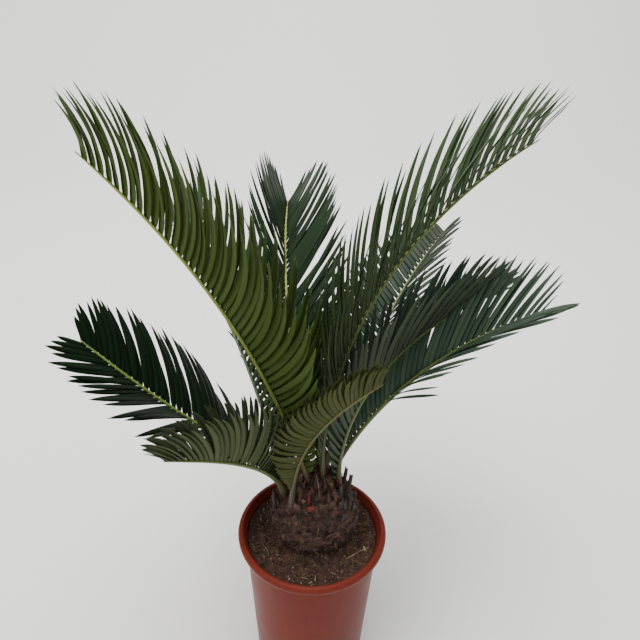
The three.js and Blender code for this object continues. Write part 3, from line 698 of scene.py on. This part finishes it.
def build_pot():
    """The pot: its profile turned about Z, with the floor drilled."""
    points, faces = turned(pot_profile(), 180)
    pot = make_piece("moulded_pot", points, faces, [moulded_polypropylene()], ["pot"])
    drill_floor(pot)


# ---- soil -------------------------------------------------------------------------------


def soil_edge(height):
    """Radius of the soil at a height, just clear of the pot's inside."""
    return wall_radius(height) - POT_WALL - SOIL_GAP


def soil_height(x, y):
    """Height of the soil: a low mound to the trunk, lumps of 30 mm and 9 mm, and grit."""
    radius = np.hypot(x, y) / soil_edge(SOIL_LEVEL)
    flat = np.stack([x, y, np.zeros_like(x)], axis=-1)
    near = np.hypot(x - TRUNK_CENTRE[0], y - TRUNK_CENTRE[1])
    heap = 7.0 * np.exp(-((near - 40) / 12) ** 2)
    relief = 1.5 * waves(flat, 30, 11) + 1.0 * waves(flat, 9, 12) + 0.5 * waves(flat, 3.5, 13)
    fade = np.clip((1 - radius) * 7, 0.15, 1)
    return SOIL_LEVEL + (SOIL_MOUND - 2) * (1 - radius ** 2) + (heap + relief) * fade


def lumps(centre, size, seed):
    """Small irregular lumps: an icosahedron at each centre whose corners are pushed in and
    out at random, squashed a little and turned at random. Returns points and faces."""
    rng = np.random.default_rng(seed)
    g = (1 + math.sqrt(5)) / 2
    corner = unit(np.array([
        (-1, g, 0), (1, g, 0), (-1, -g, 0), (1, -g, 0), (0, -1, g), (0, 1, g),
        (0, -1, -g), (0, 1, -g), (g, 0, -1), (g, 0, 1), (-g, 0, -1), (-g, 0, 1)], dtype=float))
    face = np.array([
        (0, 11, 5), (0, 5, 1), (0, 1, 7), (0, 7, 10), (0, 10, 11), (1, 5, 9), (5, 11, 4), (11, 10, 2),
        (10, 7, 6), (7, 1, 8), (3, 9, 4), (3, 4, 2), (3, 2, 6), (3, 6, 8), (3, 8, 9), (4, 9, 5),
        (2, 4, 11), (6, 2, 10), (8, 6, 7), (9, 8, 1)])
    count = len(centre)
    axes = np.linalg.qr(rng.normal(size=(count, 3, 3)))[0]
    axes *= np.linalg.det(axes)[:, None, None]
    shape = corner[None] * rng.uniform(0.65, 1.25, (count, 12, 1)) * rng.uniform(0.55, 1.3, (count, 1, 3))
    points = centre[:, None] + np.einsum("nij,nkj->nki", axes, shape) * size[:, None, None]
    faces = face[None] + (np.arange(count) * 12)[:, None, None]
    return points.reshape(-1, 3), [faces.reshape(-1, 3)]


def strands(start, heading, length, width, bend, seed, corners=5, levels=7):
    """Thin curved strands that taper to both ends, as tube arrays. Each starts at start and
    goes along heading, turned a little at each step by bend degrees to one random side."""
    rng = np.random.default_rng(seed)
    count = len(start)
    heading = unit(heading)
    lean = unit(np.cross(heading, rng.normal(size=(count, 3))))
    t = np.linspace(0, 1, levels)
    angle = np.radians(bend * rng.uniform(0.3, 1.0, count))[:, None] * t[None]
    ahead = np.cos(angle)[..., None] * heading[:, None] + np.sin(angle)[..., None] * lean[:, None]
    side = np.cross(heading, lean)[:, None] + 0 * ahead
    other = np.cross(ahead, side)
    step = (length / (levels - 1))[:, None, None]
    walked = np.cumsum(ahead[:, :-1] * step, axis=1)
    centre = start[:, None] + np.concatenate([np.zeros((count, 1, 3)), walked], axis=1)
    around = np.arange(corners) / corners * 2 * math.pi
    half = (width / 2)[:, None] * (0.35 + 0.65 * np.sin(math.pi * (0.15 + 0.8 * t)))[None]
    ring = np.cos(around)[:, None] * side[:, :, None] + np.sin(around)[:, None] * other[:, :, None]
    rings = centre[:, :, None] + half[:, :, None, None] * ring
    return tubes(rings, centre[:, 0] - ahead[:, 0] * 0.1, centre[:, -1] + ahead[:, -1] * width[:, None])


def scatter_on_soil(count, seed):
    """Random points on the soil, even over its ring between the trunk and the wall."""
    rng = np.random.default_rng(seed)
    edge = wall_radius(SOIL_LEVEL) - POT_WALL - 3
    radius = edge * np.sqrt(rng.uniform(0.05, 1, count))
    turn = rng.uniform(0, 2 * math.pi, count)
    x = radius * np.cos(turn)
    y = radius * np.sin(turn)
    keep = np.hypot(x - TRUNK_CENTRE[0], y - TRUNK_CENTRE[1]) > 36
    return np.stack([x, y, soil_height(x, y)], axis=-1)[keep]


def build_potting_mix():
    """The potting mix: a polar grid of soil_height, closed down the wall and on the floor."""
    sides = 360
    rings = 110
    turn = np.arange(sides) / sides * 2 * math.pi
    radius = soil_edge(SOIL_LEVEL) * np.linspace(1, 0.004, rings)[:, None]
    x = radius * np.cos(turn)
    y = radius * np.sin(turn)
    top = np.stack([x, y, soil_height(x, y)], axis=-1)
    bottom = POT_FLOOR + 0.4
    levels = np.array([bottom, 60, 120, 180, 210])
    wall = np.empty((len(levels), sides, 3))
    wall[..., 0] = soil_edge(levels)[:, None] * np.cos(turn)
    wall[..., 1] = soil_edge(levels)[:, None] * np.sin(turn)
    wall[..., 2] = levels[:, None]
    points, faces = tubes(
        np.concatenate([wall, top])[None],
        np.array([[0, 0, bottom]]),
        np.array([[0, 0, soil_height(np.zeros(1), np.zeros(1))[0]]]))
    mix = earthy("damp_potting_mix", "#18100d", "#37251e", "#584031", 7.0, 0.9)
    make_piece("potting_mix", points, faces, [mix], ["soil"])


def strew_crumbs():
    """Crumbs on the soil: coir, bark and a little pale grit, most of them small."""
    crumb_materials = [
        earthy("coir_crumbs", "#231913", "#473328", "#5d4735", 3.0, 0.3),
        plain("bark_crumbs", "#4a2c20", 0.9),
        plain("pale_grit", "#7d6a54", 0.85),
    ]
    centre = scatter_on_soil(5200, 21)
    rng = np.random.default_rng(22)
    size = 0.5 + 1.5 * rng.beta(1.3, 4.5, len(centre))
    centre[:, 2] += 0.1 * size
    points, faces = lumps(centre, size, 23)
    pick = rng.choice(3, len(centre), p=[0.78, 0.16, 0.06])
    make_piece("crumbs", points, faces, crumb_materials, ["soil"],
               kinds=np.repeat(pick, 20), smooth=False)


def strew_fibres():
    """Coir fibres that lie on the soil every way, 4 to 15 mm long."""
    start = scatter_on_soil(520, 31)
    rng = np.random.default_rng(32)
    turn = rng.uniform(0, 2 * math.pi, len(start))
    heading = np.stack([np.cos(turn), np.sin(turn), rng.uniform(-0.05, 0.3, len(start))], axis=-1)
    length = rng.uniform(4, 15, len(start))
    start[:, 2] += 0.5
    points, faces = strands(start, heading, length, rng.uniform(0.35, 0.7, len(start)), 50, 33)
    fibre = plain("coir_fibre", "#5b4431", 0.9)
    make_piece("coir_fibres", points, faces, [fibre], ["soil"])


def strew_straw():
    """Bits of pale straw, at listed places. The longest leans on the mix at the front right."""
    start = np.array([
        (40.0, -40.0, 0), (62.0, -20.0, 0), (-12, -66, 0), (-55, -28, 0), (5, -71, 0), (30, -63, 0)])
    heading = np.array([
        (0.82, 0.57, 0.06), (0.3, -0.9, 0.2), (0.9, -0.3, 0.05), (0.5, -0.8, 0.1), (0.1, 0.9, 0.3),
        (-0.8, 0.4, 0.1)])
    length = np.array([33.0, 9, 10, 12, 6, 8])
    width = np.array([1.2, 2.4, 0.7, 0.7, 1.2, 0.7])
    start[:, 2] = soil_height(start[:, 0], start[:, 1]) + 1.1
    points, faces = strands(start, heading, length, width, 22, 34, corners=6, levels=9)
    make_piece("straw_bits", points, faces, [plain("dry_straw", "#8a744c", 0.8)], ["soil"])


# ---- trunk ------------------------------------------------------------------------------


def spiral(count, low, high):
    """Angle round the trunk and elevation, in radians, of points spread evenly over the
    ball from low to high, each one turned by the golden angle from the last."""
    share = (np.arange(count) + 0.5) / count
    low_sine = math.sin(math.radians(low))
    high_sine = math.sin(math.radians(high))
    return np.radians(np.arange(count) * GOLDEN_ANGLE), np.arcsin(low_sine + (high_sine - low_sine) * share)


def ball_width(rise):
    """How wide the trunk is at an elevation, over a true ball's width there."""
    return 1 - TRUNK_TAPER * np.maximum(0, np.sin(rise))


def on_ball(turn, rise, radius):
    """Points of the trunk's tapering ball, by angle round it, elevation and radius."""
    offset = radial(turn, rise) * np.asarray(radius)[..., None]
    offset[..., :2] *= ball_width(rise)[..., None]
    return TRUNK_CENTRE + offset


def trunk_relief(turn, rise):
    """Height of the bark over the ball, in millimetres, at angles round it and elevations.

    Old leaf bases stand in a spiral, knocked out of line by lumps. Each is a rounded
    lozenge, about 22 mm wide and 16 mm high, that swells towards its upper edge and drops
    off there, so it overlaps the one above. The highest at each place shows. They fade
    out towards the soil, under fibre. Ridges run up them, and lumps cover all.
    """
    point = radial(turn, rise) * TRUNK_RADIUS
    turn = turn + 0.05 * waves(point, 20, 54)
    rise = rise + 0.05 * waves(point, 17, 55)
    centre_turn, centre_rise = spiral(72, -34, 84)
    size = np.random.default_rng(50).uniform(0.75, 1.25, 72)
    height = np.zeros_like(turn)
    for centre, level, scale in zip(centre_turn, centre_rise, size):
        across = (np.mod(turn - centre + math.pi, 2 * math.pi) - math.pi) * np.cos(rise) * TRUNK_RADIUS
        upward = (rise - level) * TRUNK_RADIUS
        body = 1 - np.abs(across / (11 * scale)) ** 2.2 - np.abs(upward / (8 * scale)) ** 2.6
        swell = 0.4 + 0.6 / (1 + np.exp(-upward / 1.6))
        height = np.maximum(height, 4.6 * scale * np.sqrt(np.clip(body, 0, 1)) * swell)
    height = height * (0.35 + 0.65 / (1 + np.exp(-(rise + 0.12) / 0.12)))
    ridge = waves(point * [1, 1, 0.22], 3.4, 51)
    lumps_of = [1.3 * waves(point, 14, 52), 0.6 * waves(point, 4, 56), 0.4 * waves(point, 2.2, 53)]
    return height + 0.6 * ridge + sum(lumps_of)


def wedges(turn, rise, lean, length, foot, end, thickness, seed, curve=0.0):
    """Leaf stubs that stand on the ball: flattened sections carried along a heading that is
    out plus lean times upwards, growing steeper by curve, from width foot to width end."""
    rng = np.random.default_rng(seed)
    count = len(turn)
    levels = 7
    corners = 10
    out = radial(turn, rise)
    side = np.stack([-np.sin(turn), np.cos(turn), 0 * turn], axis=-1)
    up = np.cross(out, side)
    t = np.linspace(0, 1, levels)
    lean = np.broadcast_to(lean, count)[:, None] + curve * t[None]
    ahead = unit(out[:, None] + lean[..., None] * up[:, None])
    step = (length / (levels - 1))[:, None, None]
    root = on_ball(turn, rise, np.full(count, TRUNK_RADIUS - 4.0))
    walked = np.cumsum(ahead[:, :-1] * step, axis=1)
    centre = root[:, None] + np.concatenate([np.zeros((count, 1, 3)), walked], axis=1)
    across = side[:, None] + 0 * ahead
    over = np.cross(across, ahead)
    angle = np.arange(corners) / corners * 2 * math.pi
    half = (foot[:, None] * (1 - t) + end[:, None] * t) / 2
    deep = (thickness[:, None] * (1 - 0.45 * t)) / 2
    jag = 1 + 0.13 * rng.normal(size=(count, levels, corners)).clip(-1.6, 1.6)
    rings = (
        centre[:, :, None]
        + (half[:, :, None] * np.cos(angle) * jag)[..., None] * across[:, :, None]
        - (deep[:, :, None] * np.sin(angle) * jag)[..., None] * over[:, :, None]
    )
    # The far end is frayed: its corners reach on by random lengths.
    fray = rng.uniform(-0.06, 0.12, (count, corners)) * length[:, None]
    rings[:, -1] += ahead[:, -1, None] * fray[..., None]
    rings = rings[:, :, ::-1]
    return tubes(rings, centre[:, 0], centre[:, -1] - ahead[:, -1] * 0.6)


# Marks of old leaf bases that stand out on the trunk: angle round it, elevation, length,
# width at the foot and at the end, thickness, lean upwards, and the tone of its fibre.
TRUNK_MARKS = [
    (-97, 44, 6, 10, 8, 5, 0.6, "red"),
    (-100, 33, 4, 12, 10, 5, 0.4, "rust"),
    (-80, 71, 21, 6, 1.2, 3, 0.9, "pale"),
    (-20, 63, 7, 7, 5, 5, 0.4, "ochre"),
    (-67, 27, 4, 9, 7, 4, 0.8, "ochre"),
    (-119, 50, 5, 10, 8, 3, 0.8, "ochre"),
    (-104, 22, 4, 13, 9, 6, 0.6, "brown"),
    (-112, 6, 3, 12, 9, 5, 0.6, "brown"),
    (-84, 8, 3, 12, 10, 5, 0.7, "brown"),
    (-52, 44, 8, 12, 8, 6, 0.7, "brown"),
    (-40, 20, 7, 13, 9, 4, 1.4, "grey"),
    (-27, 30, 10, 11, 6, 4, 1.6, "grey"),
    (-14, 16, 11, 12, 7, 4, 1.8, "grey"),
    (-20, 2, 8, 12, 9, 4, 1.6, "grey"),
    (-2, 26, 12, 9, 4, 4, 1.8, "grey"),
    (12, 12, 9, 11, 7, 4, 1.4, "grey"),
    (-136, 30, 7, 10, 6, 5, 1.0, "brown"),
    (-150, 14, 7, 11, 7, 5, 1.2, "dark"),
    (-165, 24, 9, 10, 5, 5, 1.3, "dark"),
]
TRUNK_TONES = {
    "brown": ("#2c1d17", "#60453a"),
    "dark": ("#1d1613", "#42322c"),
    "grey": ("#23201f", "#575250"),
    "ochre": ("#453022", "#957558"),
    "rust": ("#35150f", "#5e271b"),
    "red": ("#521d15", "#8f4234"),
    "pale": ("#6d4c3e", "#b98f7d"),
}


def mark_kinds(tones, faces):
    """The material number of each face of a row of equal tubes whose tones are named."""
    order = list(TRUNK_TONES)
    pick = np.array([order.index(tone) for tone in tones])
    return np.concatenate([np.repeat(pick, len(block) // len(pick)) for block in faces])


def build_bark():
    """The trunk's body: a tapering ball with the relief of its old leaf bases."""
    rows = 200
    sides = 420
    foot_rise = math.asin((TRUNK_FOOT - TRUNK_CENTRE[2]) / TRUNK_RADIUS)
    rise = np.linspace(foot_rise, math.pi / 2 - 0.004, rows)[:, None]
    turn = (np.arange(sides) / sides * 2 * math.pi)[None]
    turn, rise = np.broadcast_arrays(turn, rise)
    radius = TRUNK_RADIUS - 4.2 + trunk_relief(turn, rise)
    surface = on_ball(turn, rise, radius)
    surface[0, :, 2] = TRUNK_FOOT
    points, faces = tubes(
        surface[None],
        np.array([[TRUNK_CENTRE[0], TRUNK_CENTRE[1], TRUNK_FOOT]]),
        TRUNK_CENTRE[None] + [0, 0, radius[-1].mean()])
    bark = earthy("old_leaf_bases", "#1d1411", "#432f28", "#66493e", 9.0, 0.9)
    make_piece("trunk_bark", points, faces, [bark], ["trunk"])


def build_leaf_stubs(fibres):
    """Stubs of old leaves: the listed marks at the front, and a spiral of smaller
    ones wherever no mark or frond stands."""
    feet = np.array([with_path(values)["path"][0] for values in FRONDS.values()])
    rng = np.random.default_rng(61)
    count = 64
    turn, rise = spiral(count, -2, 80)
    share = (np.arange(count) + 0.5) / count
    length = (4 + 9 * share) * rng.uniform(0.7, 1.3, count)
    foot = rng.uniform(10, 17, count)
    end = foot * rng.uniform(0.45, 0.8, count)
    deep = rng.uniform(3.5, 6, count)
    lean = 1.5 - 1.1 * share
    on_right = np.cos(turn) > 0.5
    tones = rng.choice(["brown", "dark", "ochre"], count, p=[0.62, 0.32, 0.06])
    tones = np.where(on_right, "grey", tones)
    place = on_ball(turn, rise, np.full(count, float(TRUNK_RADIUS)))
    marks = np.array([mark[:7] for mark in TRUNK_MARKS])
    mark_turn = np.radians(marks[:, 0])
    mark_rise = np.radians(marks[:, 1])
    mark_place = on_ball(mark_turn, mark_rise, np.full(len(marks), float(TRUNK_RADIUS)))
    near_stalk = np.linalg.norm(place[:, None] - feet[None], axis=-1).min(axis=1) < 8
    near_mark = np.linalg.norm(place[:, None] - mark_place[None], axis=-1).min(axis=1) < 9
    keep = np.flatnonzero(~near_stalk & ~near_mark)
    turn, rise, lean, length, foot, end, deep = (
        np.concatenate([values[keep], chosen]) for values, chosen in [
            (turn, mark_turn), (rise, mark_rise), (lean, marks[:, 6]), (length, marks[:, 2]),
            (foot, marks[:, 3]), (end, marks[:, 4]), (deep, marks[:, 5])])
    points, faces = wedges(turn, rise, lean, length, foot, end, deep, 62, curve=0.5)
    tones = list(tones[keep]) + [mark[7] for mark in TRUNK_MARKS]
    kinds = mark_kinds(tones, faces)
    make_piece("leaf_stubs", points, faces, fibres, ["trunk"], kinds=kinds)


def build_dry_stalks(fibres):
    """The dry stalks of cut fronds, upright round the crown."""
    dry = np.array(DRY_STALKS, dtype=float)
    count = len(dry)
    turn = np.radians(dry[:, 0])
    rise = np.radians(dry[:, 1])
    points, faces = wedges(
        turn, rise, 0.7 / np.tan(rise), dry[:, 2] + 3, np.full(count, 8.0), np.full(count, 2.6),
        np.full(count, 7.0), 63, curve=0.2)
    kinds = mark_kinds(["dark"] * count, faces)
    make_piece("dry_stalks", points, faces, fibres, ["trunk"], kinds=kinds)


def build_scale_leaves(fibres):
    """Pointed scale leaves among the fronds' feet, upright and woolly."""
    count = 44
    turn, rise = spiral(count, 40, 86)
    rng = np.random.default_rng(71)
    turn = turn + rng.uniform(-0.2, 0.2, count)
    points, faces = wedges(
        turn, rise, rng.uniform(0.3, 1.3, count), rng.uniform(12, 26, count), rng.uniform(5, 9, count),
        np.full(count, 0.8), rng.uniform(2.2, 4, count), 72, curve=0.8)
    kinds = mark_kinds(rng.choice(["brown", "rust", "dark"], count, p=[0.55, 0.2, 0.25]), faces)
    make_piece("scale_leaves", points, faces, fibres, ["trunk"], kinds=kinds)


def build_wool():
    """Brown wool: fine hairs over the trunk, longer and upright round the crown, with some
    dark and a few pale ones among them."""
    count = 3000
    turn, rise = spiral(count, -32, 88)
    rng = np.random.default_rng(81)
    turn = turn + rng.uniform(-0.3, 0.3, count)
    out = radial(turn, rise)
    crown = np.clip(np.sin(rise), 0, 1)[:, None]
    start = on_ball(turn, rise, np.full(count, TRUNK_RADIUS - 3.0)) + out
    heading = out * (0.25 + 0.75 * crown) + [0, 0, 0.6] + rng.normal(size=(count, 3)) * 0.5
    length = rng.uniform(3, 8, count) + 6 * crown[:, 0] * rng.uniform(0, 1, count)
    width = rng.uniform(0.25, 0.5, count)
    points, faces = strands(start, heading, length, width, 70, 82, corners=3, levels=6)
    pick = rng.choice(3, count, p=[0.62, 0.3, 0.08])
    hair = [
        plain("brown_wool", "#4f3529", 0.95),
        plain("dark_wool", "#271d19", 0.95),
        plain("pale_fibre", "#7b6a58", 0.9),
    ]
    kinds = np.concatenate([np.repeat(pick, len(block) // count) for block in faces])
    make_piece("trunk_wool", points, faces, hair, ["trunk"], kinds=kinds)


def build_trunk():
    """The trunk with all that stands out of it."""
    build_bark()
    fibres = [fibrous("leaf_base_fibre_" + tone, *pair) for tone, pair in TRUNK_TONES.items()]
    build_leaf_stubs(fibres)
    build_dry_stalks(fibres)
    build_scale_leaves(fibres)
    build_wool()


# ---- camera, floor and light ------------------------------------------------------------


def place_camera():
    """The camera, in front of the plant and above it, looking down. Its turn is the
    quaternion of a tilt about X times that of a roll about the view's own axis."""
    camera_data = bpy.data.cameras.new("camera")
    camera_data.sensor_width = 36.0
    camera_data.lens = 650 / 640 * 36.0
    camera_data.clip_start = 0.01
    camera_data.clip_end = 50.0
    camera = bpy.data.objects.new("camera", camera_data)
    bpy.context.scene.collection.objects.link(camera)
    camera.location = (0.00237, -0.5437, 0.8595)
    camera.rotation_mode = "QUATERNION"
    pitch = math.radians(90 - 31.57)
    roll = math.radians(1.6)
    tilt = np.array([math.cos(pitch / 2), math.sin(pitch / 2), 0, 0])
    camera.rotation_quaternion = (
        tilt[0] * math.cos(roll / 2),
        tilt[1] * math.cos(roll / 2),
        -tilt[1] * math.sin(roll / 2),
        tilt[0] * math.sin(roll / 2),
    )
    bpy.context.scene.camera = camera


def build_floor():
    """Floor and backdrop, in metres: a profile in Y and Z carried along X. It lies flat,
    then rises on a quarter circle of 1.2 m."""
    flat = np.array([(-4.0, 0.0), (-1.0, 0.0), (2.0, 0.0)])
    angle = np.linspace(0, math.pi / 2, 24)[1:]
    bend = np.stack([2.0 + 1.2 * np.sin(angle), 1.2 - 1.2 * np.cos(angle)], axis=-1)
    profile = np.concatenate([flat, bend, [(3.2, 5.0)]])
    x = np.array([-6.0, 0.0, 6.0])
    points = np.empty((len(profile), len(x), 3))
    points[..., 0] = x
    points[..., 1:] = profile[:, None]
    rows, columns = points.shape[:2]
    row = np.arange(rows - 1)[:, None] * columns
    column = np.arange(columns - 1)[None, :]
    first = row + column
    quads = np.stack([first, first + 1, first + columns + 1, first + columns], axis=-1)
    mesh = bpy.data.meshes.new("floor")
    mesh.from_pydata(points.reshape(-1, 3).tolist(), [], quads.reshape(-1, 4).tolist())
    mesh.polygons.foreach_set("use_smooth", np.full(len(mesh.polygons), True))
    mesh.materials.append(plain("pale_painted_board", "#e3e2e0", 0.9))
    floor = bpy.data.objects.new("floor", mesh)
    bpy.context.scene.collection.objects.link(floor)


def light_stage():
    """Soft light from all round, with a large lamp above to the left, a weak one at the
    side and one on the backdrop."""
    world = bpy.data.worlds.new("soft_daylight")
    bpy.context.scene.world = world
    world.use_nodes = True
    world.node_tree.nodes.clear()
    sky = add(world.node_tree, "ShaderNodeBackground", {"Color": (0.93, 0.97, 1.0, 1.0), "Strength": 0.8})
    out = add(world.node_tree, "ShaderNodeOutputWorld", {"Surface": sky.outputs[0]})
    out.is_active_output = True

    for name, place, aim, size, power, colour in [
        ("overhead_lamp", (-0.7, -0.2, 4.2), (0.0, 0.3, 0.0), 3.4, 246.0, (1.0, 0.98, 0.96)),
        ("side_lamp", (-2.2, -0.9, 1.4), (0.0, 0.0, 0.3), 1.4, 13.0, (1.0, 0.98, 0.95)),
        ("backdrop_lamp", (0.0, 1.0, 2.4), (0.0, 3.2, 0.6), 2.4, 39.0, (1.0, 1.0, 1.0)),
    ]:
        lamp_data = bpy.data.lights.new(name, "AREA")
        lamp_data.shape = "DISK"
        lamp_data.size = size
        lamp_data.energy = power
        lamp_data.color = colour
        lamp = bpy.data.objects.new(name, lamp_data)
        bpy.context.scene.collection.objects.link(lamp)
        lamp.location = place
        back = unit(np.array(place) - np.array(aim))
        side = unit(np.cross([0.0, 0.0, 1.0], back))
        up = np.cross(back, side)
        turn_x = math.atan2(up[2], back[2])
        turn_y = math.asin(-side[2])
        turn_z = math.atan2(side[1], side[0])
        lamp.rotation_euler = (turn_x, turn_y, turn_z)


place_camera()
build_floor()
light_stage()
build_pot()
build_potting_mix()
strew_crumbs()
strew_fibres()
strew_straw()
build_trunk()
build_fronds()
